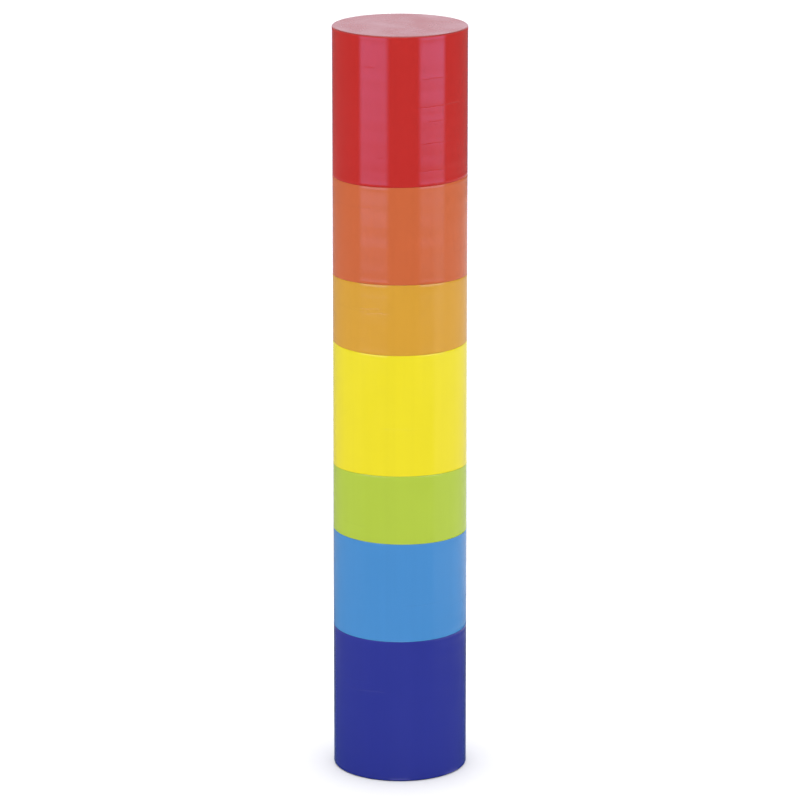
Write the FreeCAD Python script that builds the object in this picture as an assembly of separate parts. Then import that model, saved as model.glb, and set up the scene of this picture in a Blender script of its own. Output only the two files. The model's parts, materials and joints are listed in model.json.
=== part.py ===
import FreeCAD, Part
import math
import os

# A straight column of seven round wooden blocks, one above the other, each lacquered in its own
# colour, as if one round rod had been sawn through six times. Every cut has its own small slant,
# so the column stands straight only when each block is in its place and turned the right way. At
# the middle of each cut a loose beech dowel stands in a blind hole of the lower block and reaches
# into a blind hole of the upper one, which can turn on it and lift off.
#
# Millimetres and degrees. The origin is the middle of the bottom face, +Z is up along the column,
# the front is -Y and the right is +X.

# Column
column_diameter = 40.0
end_block_height = 44.0
long_block_height = 30.0
thin_block_height = 20.0
middle_block_height = 38.0
outer_edge_radius = 0.5
seam_edge_radius = 0.15

# Dowels and the holes they stand in
dowel_diameter = 10.0
dowel_length = 15.0
dowel_chamfer = 1.0
dowel_side_clearance = 0.07
hole_depth = 8.0
hole_mouth_chamfer = 0.4

# Bearings of a cut's low side, seen from above: degrees from the front towards the right
FRONT = 0.0
RIGHT = 90.0
BACK = 180.0
FRONT_LEFT = 330.0

# From the bottom up: colour, height on the column's axis, slant of the top face, its low side
blocks = [
    ("dark_blue", end_block_height, 0.7, FRONT),
    ("light_blue", long_block_height, 0.7, RIGHT),
    ("green", thin_block_height, 2.5, BACK),
    ("yellow", middle_block_height, 1.4, FRONT),
    ("amber", thin_block_height, 2.0, BACK),
    ("orange", long_block_height, 1.0, FRONT_LEFT),
    ("red", end_block_height, 0.0, FRONT),
]

column_radius = column_diameter / 2
column_height = sum(height for colour, height, slant, low_side in blocks)
hole_radius = dowel_diameter / 2 + dowel_side_clearance

# Half the side of the square slab that stands for everything on one side of a cut
slab_reach = column_height


def face_placement(height, slant, low_side):
    """A placement on the column's axis whose own Z is square to a face with this slant."""
    bearing = math.radians(low_side)
    square_to_face = FreeCAD.Vector(
        math.sin(math.radians(slant)) * math.sin(bearing),
        -math.sin(math.radians(slant)) * math.cos(bearing),
        math.cos(math.radians(slant)),
    )
    turn = FreeCAD.Rotation(FreeCAD.Vector(0, 0, 1), square_to_face)
    return FreeCAD.Placement(FreeCAD.Vector(0, 0, height), turn)


def on_face(shape, face):
    """The shape, drawn about the origin with Z along its axis, moved to a face of the column."""
    placed = shape.copy()
    placed.Placement = face.multiply(placed.Placement)
    return placed


def slab(face, direction):
    """Everything above a face (direction 1) or below it (direction -1)."""
    side = 2 * slab_reach
    low = 0 if direction > 0 else -side
    return on_face(Part.makeBox(side, side, side, FreeCAD.Vector(-slab_reach, -slab_reach, low)), face)


def round_rim(solid, height, radius):
    """Rounds the closed edge that lies nearest to this height."""
    rims = [edge for edge in solid.Edges if edge.isClosed()]
    rim = min(rims, key=lambda edge: abs(edge.BoundBox.Center.z - height))
    return solid.makeFillet(radius, [rim])


def dowel_hole(face, direction):
    """The blind hole that enters a block from a face, upwards (1) or downwards (-1)."""
    into_block = FreeCAD.Vector(0, 0, direction)
    middle = FreeCAD.Vector(0, 0, 0)
    bore = Part.makeCylinder(hole_radius, hole_depth, middle, into_block)
    mouth_radius = hole_radius + hole_mouth_chamfer
    mouth = Part.makeCone(mouth_radius, hole_radius, hole_mouth_chamfer, middle, into_block)
    return on_face(bore.fuse(mouth), face)


def wooden_block(bottom, top, is_lowest, is_highest):
    """One block between two faces, with its rims rounded and its dowel holes drilled."""
    solid = Part.makeCylinder(column_radius, column_height)
    if not is_lowest:
        solid = solid.cut(slab(bottom, -1))
    if not is_highest:
        solid = solid.cut(slab(top, 1))
    bottom_radius = outer_edge_radius if is_lowest else seam_edge_radius
    top_radius = outer_edge_radius if is_highest else seam_edge_radius
    solid = round_rim(solid, bottom.Base.z, bottom_radius)
    solid = round_rim(solid, top.Base.z, top_radius)
    if not is_lowest:
        solid = solid.cut(dowel_hole(bottom, 1))
    if not is_highest:
        solid = solid.cut(dowel_hole(top, -1))
    return solid


def beech_dowel(face):
    """The loose dowel at a cut. It stands on the floor of the hole in the block below."""
    foot = FreeCAD.Vector(0, 0, -hole_depth)
    rod = Part.makeCylinder(dowel_diameter / 2, dowel_length, foot)
    rims = [edge for edge in rod.Edges if edge.isClosed()]
    return on_face(rod.makeChamfer(dowel_chamfer, rims), face)


def save(shape, node):
    """Writes one sub-part as the STEP file of its node."""
    solid = shape.Solids[0]
    if len(shape.Solids) != 1 or not solid.isValid():
        raise ValueError(node + " is not one sound solid")
    solid.exportStep(os.path.join("parts", node + ".step"))
    print(node, "volume", round(solid.Volume, 1), "mm3, from z", round(solid.BoundBox.ZMin, 2),
          "to", round(solid.BoundBox.ZMax, 2))


os.makedirs("parts", exist_ok=True)

bottom_face = face_placement(0, 0, FRONT)
bottom_height = 0
for number, (colour, height, slant, low_side) in enumerate(blocks, start=1):
    top_height = bottom_height + height
    top_face = face_placement(top_height, slant, low_side)
    is_lowest = number == 1
    is_highest = number == len(blocks)
    save(wooden_block(bottom_face, top_face, is_lowest, is_highest), colour + "_block")
    if not is_highest:
        save(beech_dowel(top_face), "dowel_" + str(number))
    bottom_face = top_face
    bottom_height = top_height
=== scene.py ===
import json
import math
import random

import bpy
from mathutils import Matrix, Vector


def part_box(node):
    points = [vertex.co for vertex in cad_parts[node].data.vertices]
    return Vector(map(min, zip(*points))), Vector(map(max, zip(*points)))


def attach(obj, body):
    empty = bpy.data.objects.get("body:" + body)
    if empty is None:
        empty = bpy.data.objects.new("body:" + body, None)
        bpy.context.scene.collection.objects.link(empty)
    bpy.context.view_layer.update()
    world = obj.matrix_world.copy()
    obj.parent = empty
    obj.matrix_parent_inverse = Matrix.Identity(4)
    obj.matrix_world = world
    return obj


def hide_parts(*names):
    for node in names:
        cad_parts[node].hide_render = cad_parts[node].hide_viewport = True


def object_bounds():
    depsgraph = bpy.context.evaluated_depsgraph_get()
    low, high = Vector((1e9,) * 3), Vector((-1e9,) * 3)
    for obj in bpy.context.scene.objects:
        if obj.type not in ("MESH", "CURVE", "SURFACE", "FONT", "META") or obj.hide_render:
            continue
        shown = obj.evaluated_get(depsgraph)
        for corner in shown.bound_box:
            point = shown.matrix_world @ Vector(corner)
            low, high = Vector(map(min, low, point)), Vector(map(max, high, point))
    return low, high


# The looks of a tower puzzle: seven round blocks of lacquered wood, one above the other on loose
# beech dowels. Metres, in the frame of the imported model: +Z is up, the front is -Y, right is +X.

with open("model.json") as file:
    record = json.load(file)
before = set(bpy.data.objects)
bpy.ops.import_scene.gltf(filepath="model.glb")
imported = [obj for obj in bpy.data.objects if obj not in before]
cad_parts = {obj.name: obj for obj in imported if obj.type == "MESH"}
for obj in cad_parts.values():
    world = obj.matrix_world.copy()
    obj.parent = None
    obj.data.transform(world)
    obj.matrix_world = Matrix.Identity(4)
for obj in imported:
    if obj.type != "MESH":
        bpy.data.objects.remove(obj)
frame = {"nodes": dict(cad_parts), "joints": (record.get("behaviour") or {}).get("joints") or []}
cad_low, cad_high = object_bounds()

MM = 0.001
TO_DEGREES = 180 / math.pi
UP = Vector((0, 0, 1))

# How finely the turned shapes are drawn
SEGMENTS = 160
ROW_HEIGHT = 0.8 * MM
ROUNDING_STEPS = 6
# Steps of an outer rounding that have the darkened lacquer of the end, not that of the wall: painted shade
# on the rounding that the lamp overhead lights
PAINTED_SHADE_ROUNDING_STEPS = 4
# Rings of a flat end: the first where there is no hole, those in its middle and those beside its edges
FIRST_RING = 1.5 * MM
MIDDLE_RINGS = (8.0 * MM, 11.0 * MM, 14.0 * MM, 17.0 * MM)
HOLE_EDGE_RING = 0.15 * MM
RIM_EDGE_RINGS = (0.5 * MM, 0.08 * MM)
# Edges sharper than this many degrees are shaded as edges
BLOCK_SHARPNESS = 40.0
DOWEL_SHARPNESS = 30.0

# The rings that the turning left on the wall: how many waves, how long and how deep
LATHE_MARKS = 6
LATHE_WAVELENGTHS = (2.2 * MM, 9.0 * MM)
LATHE_DEPTHS = (0.0007 * MM, 0.0019 * MM)

# Sizes that the frame's boxes and joints don't give
OUTER_EDGE_RADIUS = 0.5 * MM
SEAM_EDGE_RADIUS = 0.07 * MM
HOLE_RADIUS = 5.07 * MM
HOLE_DEPTH = 8.0 * MM
HOLE_MOUTH_CHAMFER = 0.4 * MM
HOLE_FLOOR_RING = HOLE_RADIUS * 0.6
DRILL_POINT_RADIUS = 1.2 * MM
DRILL_POINT_DEPTH = 0.7 * MM
DOWEL_RADIUS = 5.0 * MM
DOWEL_LENGTH = 15.0 * MM
DOWEL_CHAMFER = 1.0 * MM
DOWEL_MIDDLE_RING = 2.0 * MM
# The dowel's chamfer runs into its side in a soft shoulder, and the side is a hair thinner half way up
DOWEL_SHOULDER = 0.12 * MM
DOWEL_SHOULDER_OUT = 0.16 * MM
DOWEL_SHOULDER_IN = 0.1 * MM
DOWEL_WAIST = 0.01 * MM
DOWEL_WAIST_HEIGHTS = (0.3, 0.5, 0.7)
# Half of the gap between two blocks
FACE_CLEARANCE = 0.015 * MM

# The lacquer is thickest in a bead beside each rim: by how much, and how far from the rim
LACQUER_BEAD = 0.014 * MM
LACQUER_BEAD_WIDTH = 0.9 * MM

# Scores in the lacquer: how wide they are, how far they wander up and down, and how many degrees
# they take to fade out
SCORE_WIDTH = 0.3 * MM
SCORE_WANDER = 1.6 * MM
SCORE_FADE = 4.0
# Scores on a block that isn't listed: how many, how far from its ends, where they start and how
# many degrees they run
SCORES_PER_BLOCK = 3
SCORE_MARGIN = 4 * MM
SCORE_STARTS = (-180, 120)
SCORE_ARCS = (20, 50)
# Scores on the top block, each with its height and the bearings where it starts and ends
SCORES = {
    "red": [
        (205.1 * MM, 12, 60),
        (194.1 * MM, 17, 48),
        (200.6 * MM, 26, 41),
        (213.4 * MM, 20, 44),
        (186.0 * MM, 18, 40),
        (216.5 * MM, -31, -24),
        (190.2 * MM, -19, -13),
    ],
}

# Colours of the lacquers, as they look in even white light
LACQUERS = {
    "red": (195, 42, 38),
    "orange": (207, 103, 58),
    "amber": (219, 162, 53),
    "yellow": (243, 227, 38),
    "green": (182, 206, 68),
    "light_blue": (74, 144, 207),
    "dark_blue": (47, 55, 149),
}
BEECH = (222, 186, 142)

# The ends are darker than the wall. On the seam faces this is partly end grain, which soaks up more lacquer
# and dries darker, and partly painted shade. On the outer ends it is painted shade, which holds down the
# top end that the lamp overhead lights
SEAM_FACE_SHADE = 0.8
OUTER_FACE_PAINTED_SHADE = 0.5

# How much the fine rings show where block rubs on block, and on the ends that nothing rubs on
SEAM_FACE_WEAR = 1.0
OUTER_FACE_WEAR = 0.25
RUBBED_RINGS_PER_METRE = 2600.0

# Shades of one coat where it is mottled: the darkest and the lightest
SIDE_MOTTLE = (0.965, 1.035)
FACE_MOTTLE = (0.96, 1.04)
BEECH_MOTTLE = (0.88, 1.08)
# Bare beech in the drilled holes, on a dowel's side and on its ends
DRILLED_SHADE = 0.86
DOWEL_SIDE_SHADE = 1.0
DOWEL_END_SHADE = 0.9

# Gloss: the range of the roughness, and the lacquers' index of refraction
SIDE_ROUGHNESS = (0.075, 0.12)
SCORE_ROUGHNESS = 0.12
FACE_ROUGHNESS = (0.2, 0.32)
BEECH_ROUGHNESS = (0.5, 0.68)
SIDE_IOR = 1.45
FACE_IOR = 1.46

# Heights of the fine relief in metres
GRAIN_RELIEF = 5e-6
PORE_RELIEF = 1.0e-6
TURNING_RELIEF = 3e-6
SCORE_RELIEF = -1.0e-5
PEEL_RELIEF = 2.0e-6
RUBBING_RELIEF = 0.5e-6
SANDING_RELIEF = 1.2e-5
END_GRAIN_RELIEF = 3e-6
FIBRE_RELIEF = 1.2e-5
FLECK_RELIEF = -1.5e-5


def linear(colour):
    """A shader colour from one given as 0 to 255 in sRGB."""
    def channel(value):
        share = value / 255
        return share / 12.92 if share <= 0.04045 else ((share + 0.055) / 1.055) ** 2.4
    return tuple(channel(value) for value in colour) + (1.0,)


# ---------------------------------------------------------------- materials

def new_material(name):
    material = bpy.data.materials.new(name)
    material.use_nodes = True
    tree = material.node_tree
    return material, tree, tree.nodes["Principled BSDF"]


def object_coordinates(tree, scale):
    """The object's own coordinates, stretched by a scale along each axis."""
    place = tree.nodes.new("ShaderNodeTexCoord")
    stretch = tree.nodes.new("ShaderNodeMapping")
    stretch.inputs["Scale"].default_value = scale
    tree.links.new(place.outputs["Object"], stretch.inputs["Vector"])
    return stretch.outputs["Vector"]


def noise(tree, per_metre, detail=2.0, roughness=0.5):
    """A noise from 0 to 1 with this many features per metre along each axis."""
    texture = tree.nodes.new("ShaderNodeTexNoise")
    texture.inputs["Scale"].default_value = 1.0
    texture.inputs["Detail"].default_value = detail
    texture.inputs["Roughness"].default_value = roughness
    tree.links.new(object_coordinates(tree, per_metre), texture.inputs["Vector"])
    return texture.outputs["Fac"]


def remap(tree, value, from_low, from_high, to_low, to_high):
    """A value carried from one range to another and held inside it."""
    node = tree.nodes.new("ShaderNodeMapRange")
    node.inputs["From Min"].default_value = from_low
    node.inputs["From Max"].default_value = from_high
    node.inputs["To Min"].default_value = to_low
    node.inputs["To Max"].default_value = to_high
    tree.links.new(value, node.inputs["Value"])
    return node.outputs["Result"]


def arithmetic(tree, operation, first, second=0.0):
    """One step of arithmetic on values or numbers. Some operations need only the first."""
    node = tree.nodes.new("ShaderNodeMath")
    node.operation = operation
    for socket, term in zip(node.inputs, (first, second)):
        if isinstance(term, (int, float)):
            socket.default_value = term
        else:
            tree.links.new(term, socket)
    return node.outputs["Value"]


def add_up(tree, terms):
    """The sum of a list of values."""
    total = terms[0]
    for term in terms[1:]:
        total = arithmetic(tree, "ADD", total, term)
    return total


def mix_colours(tree, share, first, second):
    """The first colour where the share is 0 and the second where it is 1."""
    node = tree.nodes.new("ShaderNodeMix")
    node.data_type = "RGBA"
    tree.links.new(share, node.inputs["Factor"])
    for name, colour in (("A", first), ("B", second)):
        socket = next(s for s in node.inputs if s.name == name and s.type == "RGBA")
        if isinstance(colour, tuple):
            socket.default_value = colour
        else:
            tree.links.new(colour, socket)
    return next(s for s in node.outputs if s.type == "RGBA")


def ramp(tree, value, low, high):
    """0 below low, 1 above high, smooth between."""
    node = tree.nodes.new("ShaderNodeMapRange")
    node.interpolation_type = "SMOOTHSTEP"
    node.inputs["From Min"].default_value = low
    node.inputs["From Max"].default_value = high
    tree.links.new(value, node.inputs["Value"])
    return node.outputs["Result"]


def window(tree, value, low, high, softness):
    """1 between low and high, falling to 0 over the softness on each side."""
    rise = ramp(tree, value, low - softness, low + softness)
    fall = ramp(tree, value, high - softness, high + softness)
    return arithmetic(tree, "SUBTRACT", rise, fall)


def bearing_and_height(tree, output):
    """The direction of a vector as two numbers: its bearing in degrees and its share upwards."""
    place = tree.nodes.new("ShaderNodeTexCoord")
    parts = tree.nodes.new("ShaderNodeSeparateXYZ")
    tree.links.new(place.outputs[output], parts.inputs["Vector"])
    toward_front = arithmetic(tree, "MULTIPLY", parts.outputs["Y"], -1.0)
    bearing = arithmetic(tree, "ARCTAN2", parts.outputs["X"], toward_front)
    return arithmetic(tree, "MULTIPLY", bearing, TO_DEGREES), parts.outputs["Z"]


def bump(tree, patterns):
    """The normal of a surface with fine relief, from patterns with the height of each in metres."""
    height = add_up(tree, [arithmetic(tree, "MULTIPLY", pattern, relief) for pattern, relief in patterns])
    node = tree.nodes.new("ShaderNodeBump")
    node.inputs["Strength"].default_value = 1.0
    node.inputs["Distance"].default_value = 1.0
    tree.links.new(height, node.inputs["Height"])
    return node.outputs["Normal"]


def shade(colour, factor):
    """A colour made darker or lighter."""
    return tuple(min(1.0, channel * factor) for channel in colour[:3]) + (1.0,)


def mottled(tree, pattern, colour, shades):
    """A colour that runs from the first of two shades to the second as the pattern does."""
    return mix_colours(tree, pattern, shade(colour, shades[0]), shade(colour, shades[1]))


def score_marks(colour, bottom, top):
    """The thin lines that a tool left part of the way round one block: height, start and end of each."""
    if colour in SCORES:
        return SCORES[colour]
    draw = random.Random(colour + " scores")
    marks = []
    for _ in range(SCORES_PER_BLOCK):
        start = draw.uniform(*SCORE_STARTS)
        level = draw.uniform(bottom + SCORE_MARGIN, top - SCORE_MARGIN)
        marks.append((level, start, start + draw.uniform(*SCORE_ARCS)))
    return marks


def score_lines(tree, marks):
    """1 along each score, 0 between them. The lines wander a little up and down."""
    bearing, height = bearing_and_height(tree, "Object")
    wander = arithmetic(tree, "MULTIPLY", noise(tree, (110, 110, 20), detail=1.0), SCORE_WANDER)
    height = arithmetic(tree, "ADD", height, wander)
    lines = []
    for level, start, end in marks:
        centre = level + SCORE_WANDER / 2
        line = window(tree, height, centre - SCORE_WIDTH / 2, centre + SCORE_WIDTH / 2, SCORE_WIDTH / 3)
        arc = window(tree, bearing, start, end, SCORE_FADE)
        lines.append(arithmetic(tree, "MULTIPLY", line, arc))
    return add_up(tree, lines)


def lacquered_side(name, colour, marks):
    """Glossy lacquer on the turned wall: grain, lathe rings and a few scores show through it."""
    material, tree, shader = new_material(name)
    link = tree.links.new
    mottle = noise(tree, (55, 55, 40), detail=3.0)
    grain = noise(tree, (420, 420, 14), detail=3.0, roughness=0.6)
    pores = noise(tree, (1700, 1700, 60))
    turning = noise(tree, (22, 22, 800))
    peel = noise(tree, (420, 420, 420), detail=1.0)
    scores = score_lines(tree, marks)

    clean = mottled(tree, mottle, colour, SIDE_MOTTLE)
    grained = mix_colours(tree, remap(tree, grain, 0.35, 0.75, 0.0, 0.06), clean, shade(colour, 0.6))
    scored = mix_colours(tree, arithmetic(tree, "MULTIPLY", scores, 0.04), grained, shade(colour, 0.5))
    link(scored, shader.inputs["Base Color"])

    sheen = remap(tree, mottle, 0.3, 0.7, *SIDE_ROUGHNESS)
    dulled = arithmetic(tree, "MULTIPLY", scores, SCORE_ROUGHNESS)
    link(add_up(tree, [sheen, dulled]), shader.inputs["Roughness"])
    shader.inputs["IOR"].default_value = SIDE_IOR

    relief = [
        (grain, GRAIN_RELIEF),
        (pores, PORE_RELIEF),
        (turning, TURNING_RELIEF),
        (scores, SCORE_RELIEF),
        (peel, PEEL_RELIEF),
    ]
    link(bump(tree, relief), shader.inputs["Normal"])
    return material


def radius_from_axis(tree):
    """The distance from the column's axis."""
    place = tree.nodes.new("ShaderNodeTexCoord")
    flat = tree.nodes.new("ShaderNodeVectorMath")
    flat.operation = "MULTIPLY"
    flat.inputs[1].default_value = (1, 1, 0)
    length = tree.nodes.new("ShaderNodeVectorMath")
    length.operation = "LENGTH"
    tree.links.new(place.outputs["Object"], flat.inputs[0])
    tree.links.new(flat.outputs["Vector"], length.inputs[0])
    return length.outputs["Value"]


def noise_of_value(tree, value, per_metre):
    """A noise from 0 to 1 that changes only with one value, and has this many features per metre of it."""
    texture = tree.nodes.new("ShaderNodeTexNoise")
    texture.noise_dimensions = "1D"
    texture.inputs["Scale"].default_value = per_metre
    tree.links.new(value, texture.inputs["W"])
    return texture.outputs["Fac"]


def lacquered_face(name, colour, wear):
    """Lacquer on a sawn and sanded end: fine rings from wear, and a little end grain."""
    material, tree, shader = new_material(name)
    link = tree.links.new
    rings = noise_of_value(tree, radius_from_axis(tree), RUBBED_RINGS_PER_METRE)
    rubbing = remap(tree, rings, 0.0, 1.0, 0.5 - wear / 2, 0.5 + wear / 2)
    mottle = noise(tree, (90, 90, 90), detail=3.0)
    end_grain = noise(tree, (900, 900, 900), roughness=0.6)

    clean = mottled(tree, mottle, colour, FACE_MOTTLE)
    rubbed = mix_colours(tree, remap(tree, rubbing, 0.45, 0.75, 0.0, 0.05), clean, shade(colour, 1.25))
    link(rubbed, shader.inputs["Base Color"])
    sheen = remap(tree, add_up(tree, [rubbing, mottle]), 0.7, 1.3, *FACE_ROUGHNESS)
    link(sheen, shader.inputs["Roughness"])
    shader.inputs["IOR"].default_value = FACE_IOR

    relief = [(rubbing, RUBBING_RELIEF), (mottle, SANDING_RELIEF), (end_grain, END_GRAIN_RELIEF)]
    link(bump(tree, relief), shader.inputs["Normal"])
    return material


def bare_beech(name, stretch, darkening):
    """Unfinished beech with short dark flecks. Its grain runs along the axis with the smallest stretch."""
    material, tree, shader = new_material(name)
    link = tree.links.new
    colour = shade(linear(BEECH), darkening)
    bands = noise(tree, tuple(260 * share for share in stretch), detail=3.0, roughness=0.6)
    fibres = noise(tree, tuple(1800 * share for share in stretch))
    specks = noise(tree, tuple(1200 * share for share in stretch), detail=1.0)
    flecks = remap(tree, specks, 0.66, 0.72, 0.0, 1.0)

    grained = mottled(tree, remap(tree, bands, 0.3, 0.7, 0.0, 1.0), colour, BEECH_MOTTLE)
    fibred = mix_colours(tree, remap(tree, fibres, 0.3, 0.8, 0.0, 0.2), grained, shade(colour, 0.7))
    flecked = mix_colours(tree, arithmetic(tree, "MULTIPLY", flecks, 0.45), fibred, shade(colour, 0.45))
    link(flecked, shader.inputs["Base Color"])
    link(remap(tree, fibres, 0.3, 0.7, *BEECH_ROUGHNESS), shader.inputs["Roughness"])
    link(bump(tree, [(fibres, FIBRE_RELIEF), (flecks, FLECK_RELIEF)]), shader.inputs["Normal"])
    return material


# ---------------------------------------------------------------- turned meshes

def angles():
    """The angles of a ring's points, anticlockwise from +X."""
    return [2 * math.pi * step / SEGMENTS for step in range(SEGMENTS)]


def slope_towards(normal, angle):
    """How fast a slanted face rises along a level line that points this way."""
    return -(normal.x * math.cos(angle) + normal.y * math.sin(angle)) / normal.z


def face_ring(face, radius):
    """A ring on a slanted face, this far from the column's axis."""
    centre, normal = face
    return [
        Vector((
            radius * math.cos(angle),
            radius * math.sin(angle),
            centre.z + radius * slope_towards(normal, angle),
        ))
        for angle in angles()
    ]


def round_ring(face, radius, along):
    """A true circle square to a face's normal, this far along the normal from the face."""
    centre, normal = face
    ring = []
    for angle in angles():
        spoke = Vector((math.cos(angle), math.sin(angle), slope_towards(normal, angle)))
        ring.append(centre + spoke.normalized() * radius + normal * along)
    return ring


def lathe(name, rings, bands, materials, sharpness):
    """Skins a stack of rings. bands has the material's number for each band between two rings.

    The first and the last ring are single points, so the skin is closed."""
    points = []
    starts = []
    for ring in rings:
        starts.append(len(points))
        points.extend(ring)
    faces = []
    zones = []
    for index, zone in enumerate(bands):
        low, high = starts[index], starts[index + 1]
        for step in range(SEGMENTS):
            after = (step + 1) % SEGMENTS
            if len(rings[index]) == 1:
                faces.append((low, high + after, high + step))
            elif len(rings[index + 1]) == 1:
                faces.append((low + step, low + after, high))
            else:
                faces.append((low + step, low + after, high + after, high + step))
            zones.append(zone)
    mesh = bpy.data.meshes.new(name)
    mesh.from_pydata(points, [], faces)
    for material in materials:
        mesh.materials.append(material)
    mesh.polygons.foreach_set("material_index", zones)
    mesh.polygons.foreach_set("use_smooth", [True] * len(faces))
    mesh.set_sharp_from_angle(angle=math.radians(sharpness))
    mesh.validate()
    mesh.update()
    piece = bpy.data.objects.new(name, mesh)
    bpy.context.scene.collection.objects.link(piece)
    return piece


# ---------------------------------------------------------------- blocks

# Material slots. The outer face slot holds lacquer darkened as painted shade, for the outer ends and the
# roundings beside them
SIDE, SEAM_FACE, DRILLED, OUTER_FACE_IN_PAINTED_SHADE = 0, 1, 2, 3
column_radius = (cad_high.x - cad_low.x) / 2


def lathe_marks(colour):
    """The faint rings that the turning left on one block: wavelength, depth, phase and turns of lean."""
    draw = random.Random(colour)
    marks = []
    for _ in range(LATHE_MARKS):
        wavelength = draw.uniform(*LATHE_WAVELENGTHS)
        depth = draw.uniform(*LATHE_DEPTHS)
        marks.append((wavelength, depth, draw.uniform(0, 2 * math.pi), draw.choice((0, 0, 1))))
    return marks


def wall_radius(marks, angle, height, rim_distance):
    """The radius of a block's wall, with its lathe marks and the bead of lacquer beside each rim."""
    bead = LACQUER_BEAD * (1 - math.exp(-(rim_distance / LACQUER_BEAD_WIDTH) ** 2))
    dips = sum(
        depth * (1 + math.sin(2 * math.pi * height / wavelength + phase + lean * angle))
        for wavelength, depth, phase, lean in marks
    )
    return column_radius - bead - dips * min(1.0, rim_distance / LACQUER_BEAD_WIDTH)


def end_rings(face, inward, rim_radius, drilled):
    """The rings of a block's end from its middle outwards, and the material of the band after each.

    inward is 1 where the block lies above the face and -1 where it lies below."""
    centre, normal = face
    edge = column_radius - rim_radius
    if drilled:
        point = centre + normal * inward * (HOLE_DEPTH + DRILL_POINT_DEPTH)
        floor = inward * HOLE_DEPTH
        hole = [(DRILL_POINT_RADIUS, floor), (HOLE_FLOOR_RING, floor)]
        hole += [(HOLE_RADIUS, floor * share) for share in (1.0, 0.75, 0.5, 0.25)]
        rings = [[point]] + [round_ring(face, radius, along) for radius, along in hole]
        bands = [DRILLED] * len(rings)
        rings.append(round_ring(face, HOLE_RADIUS, inward * HOLE_MOUTH_CHAMFER))
        bands.append(SEAM_FACE)
        first = HOLE_RADIUS + HOLE_MOUTH_CHAMFER
    else:
        rings = [[centre.copy()]]
        bands = [OUTER_FACE_IN_PAINTED_SHADE]
        first = FIRST_RING
    flat = [first, first + HOLE_EDGE_RING, *MIDDLE_RINGS]
    flat += [edge - distance for distance in RIM_EDGE_RINGS]
    rings += [face_ring(face, radius) for radius in flat]
    bands += [SEAM_FACE if drilled else OUTER_FACE_IN_PAINTED_SHADE] * len(flat)
    return rings, bands


def rim_rings(face, inward, rim_radius):
    """The rounding between a block's end and its wall, from the end outwards."""
    rings = []
    for step in range(ROUNDING_STEPS + 1):
        turn = math.pi / 2 * (1 - step / ROUNDING_STEPS)
        radius = column_radius - rim_radius * (1 - math.cos(turn))
        drop = rim_radius * (1 - math.sin(turn))
        rings.append([point + UP * inward * drop for point in face_ring(face, radius)])
    return rings


def block_piece(colour, bottom, top, is_lowest, is_highest, materials):
    """One block between two faces of the column."""
    marks = lathe_marks(colour)
    bottom_edge = OUTER_EDGE_RADIUS if is_lowest else SEAM_EDGE_RADIUS
    top_edge = OUTER_EDGE_RADIUS if is_highest else SEAM_EDGE_RADIUS
    bottom_rings, bottom_bands = end_rings(bottom, 1, bottom_edge, not is_lowest)
    top_rings, top_bands = end_rings(top, -1, top_edge, not is_highest)

    lower_rim = rim_rings(bottom, 1, bottom_edge)
    upper_rim = rim_rings(top, -1, top_edge)
    low = [point.z for point in lower_rim[-1]]
    high = [point.z for point in upper_rim[-1]]
    wall = lower_rim
    rows = round((top[0].z - bottom[0].z) / ROW_HEIGHT)
    for row in range(1, rows):
        ring = []
        for angle, low_z, high_z in zip(angles(), low, high):
            height = low_z + (high_z - low_z) * row / rows
            radius = wall_radius(marks, angle, height, min(height - low_z, high_z - height))
            ring.append(Vector((radius * math.cos(angle), radius * math.sin(angle), height)))
        wall.append(ring)
    wall += reversed(upper_rim)

    skin = [SIDE] * (len(wall) - 1)
    # Painted shade: the roundings beside the outer ends take the darkened lacquer of those ends
    if is_lowest:
        skin[:PAINTED_SHADE_ROUNDING_STEPS] = [OUTER_FACE_IN_PAINTED_SHADE] * PAINTED_SHADE_ROUNDING_STEPS
    if is_highest:
        skin[-PAINTED_SHADE_ROUNDING_STEPS:] = [OUTER_FACE_IN_PAINTED_SHADE] * PAINTED_SHADE_ROUNDING_STEPS

    rings = bottom_rings + wall + top_rings[::-1]
    bands = bottom_bands + skin + top_bands[::-1]
    return lathe(colour + "_painted_wood", rings, bands, materials, BLOCK_SHARPNESS)


# ---------------------------------------------------------------- dowels

DOWEL_SIDE, DOWEL_END = 0, 1


def dowel_piece(number, seam, materials):
    """A dowel with chamfered ends. It stands on the floor of the hole below the seam."""
    centre, normal = seam
    foot = -HOLE_DEPTH
    head = foot + DOWEL_LENGTH
    end_radius = DOWEL_RADIUS - DOWEL_CHAMFER
    shoulder = DOWEL_RADIUS - DOWEL_SHOULDER
    waist = DOWEL_RADIUS - DOWEL_WAIST
    profile = [
        (DOWEL_MIDDLE_RING, foot, DOWEL_END),
        (end_radius, foot, DOWEL_END),
        (shoulder, foot + DOWEL_CHAMFER - DOWEL_SHOULDER_OUT, DOWEL_SIDE),
        (DOWEL_RADIUS, foot + DOWEL_CHAMFER + DOWEL_SHOULDER_IN, DOWEL_SIDE),
        *((waist, foot + DOWEL_LENGTH * share, DOWEL_SIDE) for share in DOWEL_WAIST_HEIGHTS),
        (DOWEL_RADIUS, head - DOWEL_CHAMFER - DOWEL_SHOULDER_IN, DOWEL_SIDE),
        (shoulder, head - DOWEL_CHAMFER + DOWEL_SHOULDER_OUT, DOWEL_END),
        (end_radius, head, DOWEL_END),
        (DOWEL_MIDDLE_RING, head, DOWEL_END),
    ]
    rings = [[centre + normal * foot]]
    rings += [round_ring(seam, radius, along) for radius, along, _ in profile]
    rings.append([centre + normal * head])
    bands = [DOWEL_END] + [zone for _, _, zone in profile]
    return lathe("dowel_" + str(number) + "_beech", rings, bands, materials, DOWEL_SHARPNESS)


# ---------------------------------------------------------------- the column

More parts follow.
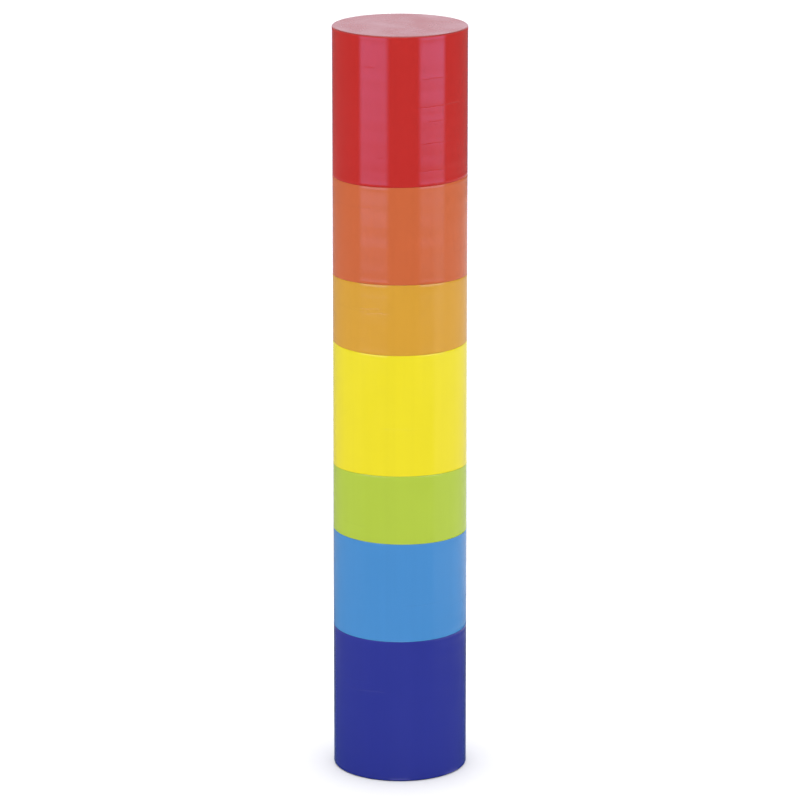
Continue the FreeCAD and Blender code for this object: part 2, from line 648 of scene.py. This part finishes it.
turns = [joint for joint in frame["joints"] if joint["type"] == "hinge"]
seams = [(Vector(joint["pos_m"]), Vector(joint["axis"]).normalized()) for joint in turns]
seams.sort(key=lambda seam: seam[0].z)
blocks = [node for node in frame["nodes"] if node.endswith("_block")]
blocks.sort(key=lambda node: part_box(node)[0].z)

drilled = bare_beech("drilled_beech", (1.0, 1.0, 0.3), DRILLED_SHADE)
dowel_side = bare_beech("dowel_side", (1.0, 1.0, 0.05), DOWEL_SIDE_SHADE)
dowel_end = bare_beech("dowel_end", (1.0, 1.0, 1.0), DOWEL_END_SHADE)

for index, node in enumerate(blocks):
    colour = node.removesuffix("_block")
    is_lowest = index == 0
    is_highest = index == len(blocks) - 1
    if is_lowest:
        bottom = (Vector((0, 0, cad_low.z)), UP)
    else:
        centre, normal = seams[index - 1]
        bottom = (centre + normal * FACE_CLEARANCE, normal)
    if is_highest:
        top = (Vector((0, 0, cad_high.z)), UP)
    else:
        centre, normal = seams[index]
        top = (centre - normal * FACE_CLEARANCE, normal)
    paint = linear(LACQUERS[colour])
    marks = score_marks(colour, bottom[0].z, top[0].z)
    materials = [
        lacquered_side(colour + "_side", paint, marks),
        lacquered_face(colour + "_seam_face", shade(paint, SEAM_FACE_SHADE), SEAM_FACE_WEAR),
        drilled,
    ]
    # The outer ends get a copy of the lacquer darkened as painted shade
    if is_lowest or is_highest:
        outer = lacquered_face(colour + "_outer_face_painted_shade", shade(paint, OUTER_FACE_PAINTED_SHADE), OUTER_FACE_WEAR)
        materials.append(outer)
    piece = block_piece(colour, bottom, top, is_lowest, is_highest, materials)
    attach(piece, node)
    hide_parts(node)

for number, seam in enumerate(seams, start=1):
    node = "dowel_" + str(number)
    piece = dowel_piece(number, seam, [dowel_side, dowel_end])
    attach(piece, node)
    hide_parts(node)


# ---------------------------------------------------------------- floor, light and camera

FLOOR_SIZE = 120.0
FLOOR_GAP = 0.05 * MM
FLOOR_COLOURS = ((0.90, 0.90, 0.90, 1.0), (0.92, 0.92, 0.92, 1.0))
FLOOR_ROUGHNESS = 0.7


def pale_floor():
    """A plain pale tabletop, a hair below the block that stands on it."""
    half = FLOOR_SIZE / 2
    z = cad_low.z - FLOOR_GAP
    mesh = bpy.data.meshes.new("floor")
    corners = [(-half, -half, z), (half, -half, z), (half, half, z), (-half, half, z)]
    mesh.from_pydata(corners, [], [(0, 1, 2, 3)])
    floor = bpy.data.objects.new("floor", mesh)
    bpy.context.scene.collection.objects.link(floor)
    material, tree, shader = new_material("floor_paper")
    fibre = noise(tree, (300, 300, 300), detail=3.0)
    tree.links.new(mix_colours(tree, fibre, *FLOOR_COLOURS), shader.inputs["Base Color"])
    shader.inputs["Roughness"].default_value = FLOOR_ROUGHNESS
    mesh.materials.append(material)
    floor.visible_glossy = False


# The studio, as the directions that light comes from. Bearings run in degrees from the front (0)
# to the right (90) and the left (-90); heights are degrees above the horizon. What lies below the
# horizon is seen only in the lacquer, because the floor hides it from everything but reflections.
LOWEST, HIGHEST = -40, 40
BLACK = (0, 0, 0)
DARK_STUDIO = (0.19, 0.19, 0.19)
DARK_NEAR_FLOOR = (0.06, 0.11, 0.20)
SKY = (0.50, 0.50, 0.50)
LAMP = (2.75, 2.75, 2.75)
WHITE_BACKDROP = (1.0, 1.0, 1.0)
LAMP_HEIGHTS = (43, 67)
RIGHT_CARD = (0.48, 0.48, 0.48)
LEFT_CARD = (0.16, 0.16, 0.16)
CARD_HEIGHTS = (-17.5, -12.0)
CARD_SOFT_END = 0.15

# The light that comes from every side: heights and the colour at each
ALL_ROUND = [(-20, DARK_NEAR_FLOOR), (-16, DARK_STUDIO), (3, DARK_STUDIO), (8, SKY)]


def card(colour):
    """The heights and colours of a plain grey card, with slightly soft ends."""
    low, high = CARD_HEIGHTS
    soft = CARD_SOFT_END
    return [(low - soft, BLACK), (low + soft, colour), (high - soft, colour), (high + soft, BLACK)]


# The strips that only a view from higher up finds
LOW_STRIP = [(-36.8, BLACK), (-35.2, (1.2, 1.15, 1.7)), (-22.3, (1.2, 1.15, 1.7)), (-20.7, BLACK)]

# What is added to that light: the lowest and the highest bearing, the softness of its sides, and
# then heights and the colour at each
ADDED = [
    # two tall cool strips, which fade out downwards
    (-70.6, -21.6, 5, [
        (-13.1, BLACK), (-12.6, (0.8, 1.05, 1.65)), (-11.7, (1.2, 1.25, 2.3)), (-10.5, (1.65, 1.5, 3.2)),
        (2.5, (1.65, 1.5, 3.2)), (3.5, BLACK),
    ]),
    (34.1, 80.2, 5, [
        (-13.45, BLACK), (-13.15, (0.35, 0.6, 0.6)), (-12.1, (0.4, 0.65, 0.8)), (-11.8, (0.55, 0.65, 0.95)),
        (-11.4, (1.0, 1.1, 2.0)), (-10.6, (1.8, 1.7, 3.5)), (2.5, (1.8, 1.7, 3.5)), (3.5, BLACK),
    ]),
    (-18, 16, 5, LOW_STRIP),
    (88, 124, 5, LOW_STRIP),
    # a grey card low on each side
    (60, 172, 5, card(RIGHT_CARD)),
    (-172, -66, 10, card(LEFT_CARD)),
]

# The same, for what stands behind: here the bearings are counted to both sides
ADDED_BEHIND = [
    (150, 200, 12, [(1, BLACK), (6, (0.80, 0.84, 1.01)), (15, (0.80, 0.84, 1.01)), (24, BLACK)]),
    (166, 200, 4, [(-16.6, BLACK), (-14.2, (1.1, 1.1, 1.5)), (2.5, (1.1, 1.1, 1.5)), (3.5, BLACK)]),
]


def colour_by_height(tree, height, stops):
    """A colour that runs from stop to stop with the height, and stays the same beyond the last ones."""
    node = tree.nodes.new("ShaderNodeValToRGB")
    elements = node.color_ramp.elements
    elements.remove(elements[1])
    for index, (level, colour) in enumerate(stops):
        place = (level - LOWEST) / (HIGHEST - LOWEST)
        element = elements[0] if index == 0 else elements.new(place)
        element.position = place
        element.color = colour + (1.0,)
    tree.links.new(remap(tree, height, LOWEST, HIGHEST, 0.0, 1.0), node.inputs["Fac"])
    return node.outputs["Color"]


def vector_arithmetic(tree, operation, first, second):
    """One step of arithmetic on colours. SCALE takes a plain value as its second term."""
    node = tree.nodes.new("ShaderNodeVectorMath")
    node.operation = operation
    tree.links.new(first, node.inputs[0])
    tree.links.new(second, node.inputs["Scale" if operation == "SCALE" else 1])
    return node.outputs["Vector"]


def studio():
    """The world: the light from every side, what is added to it, and the lamp overhead.

    The camera itself sees a plain white backdrop instead."""
    world = bpy.data.worlds.new("studio")
    world.use_nodes = True
    tree = world.node_tree
    background = tree.nodes["Background"]
    bearing, rise = bearing_and_height(tree, "Generated")
    height = arithmetic(tree, "MULTIPLY", arithmetic(tree, "ARCSINE", rise), TO_DEGREES)
    to_either_side = arithmetic(tree, "ABSOLUTE", bearing)

    light = colour_by_height(tree, height, ALL_ROUND)
    added = [(bearing, row) for row in ADDED] + [(to_either_side, row) for row in ADDED_BEHIND]
    for direction, (lowest, highest, softness, stops) in added:
        share = window(tree, direction, lowest, highest, softness)
        part = vector_arithmetic(tree, "SCALE", colour_by_height(tree, height, stops), share)
        light = vector_arithmetic(tree, "ADD", light, part)
    overhead = ramp(tree, height, *LAMP_HEIGHTS)
    lamp = mix_colours(tree, overhead, BLACK + (1.0,), LAMP + (1.0,))
    light = vector_arithmetic(tree, "ADD", light, lamp)
    looked_at = tree.nodes.new("ShaderNodeLightPath").outputs["Is Camera Ray"]
    light = mix_colours(tree, looked_at, light, WHITE_BACKDROP + (1.0,))
    tree.links.new(light, background.inputs["Color"])
    background.inputs["Strength"].default_value = 1.0
    bpy.context.scene.world = world


pale_floor()
studio()

CAMERA_DISTANCE = 1.33
CAMERA_ELEVATION = 14.7
CAMERA_LENS = 201.0
CAMERA_SENSOR = 36.0

camera_data = bpy.data.cameras.new("camera")
camera_data.lens = CAMERA_LENS
camera_data.sensor_width = CAMERA_SENSOR
camera = bpy.data.objects.new("camera", camera_data)
bpy.context.scene.collection.objects.link(camera)
elevation = math.radians(CAMERA_ELEVATION)
column_middle = (cad_low + cad_high) / 2
back = Vector((0, -math.cos(elevation), math.sin(elevation)))
camera.location = column_middle + back * CAMERA_DISTANCE
camera.rotation_mode = "QUATERNION"
camera.rotation_quaternion = (-back).to_track_quat("-Z", "Y")
bpy.context.scene.camera = camera

bpy.context.scene.view_settings.view_transform = "Standard"
bpy.context.scene.view_settings.look = "None"
